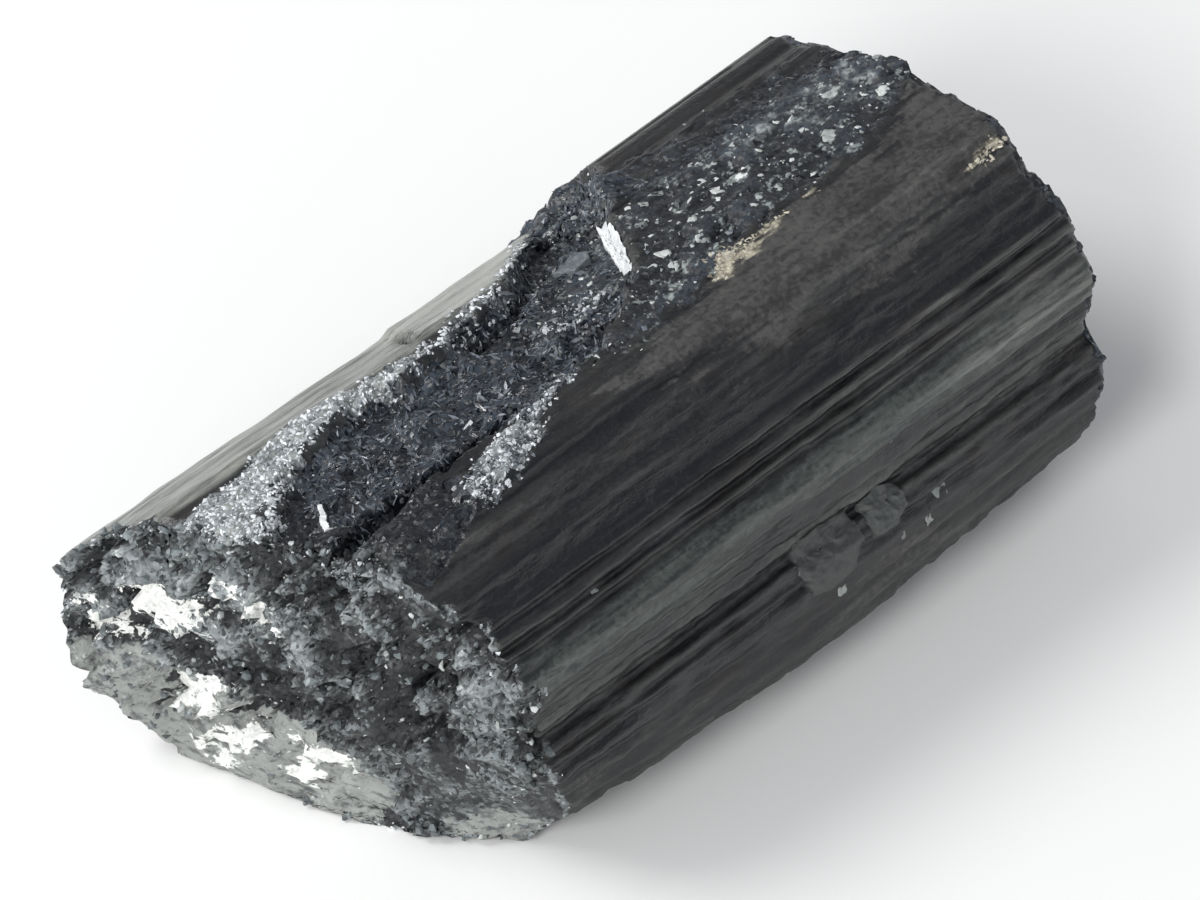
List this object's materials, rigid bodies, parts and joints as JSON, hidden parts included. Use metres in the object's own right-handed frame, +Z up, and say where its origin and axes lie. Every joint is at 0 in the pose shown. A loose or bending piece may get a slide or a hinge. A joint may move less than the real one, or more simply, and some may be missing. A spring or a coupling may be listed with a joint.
{
  "type": "tourmaline crystal",
  "caption": "Broken length of a black, ribbed, three-sided prismatic crystal that lies on its side, with rough broken ends and a hollow on top.",
  "frame": {"origin": "under the middle of the crystal, on the surface that it lies on", "axes": "+X along the prism from the slanted broken end to the square one, +Z up"},
  "size_m": [0.0597, 0.0295, 0.0253],
  "materials": {
    "black_tourmaline": "glassy, striated, granular where broken",
    "pale_mineral": "glassy white and grey grains",
    "cream_earth": "dull cream and ochre crust"
  },
  "bodies": {
    "root": {"crystal": "black_tourmaline"}
  },
  "joints": []
}
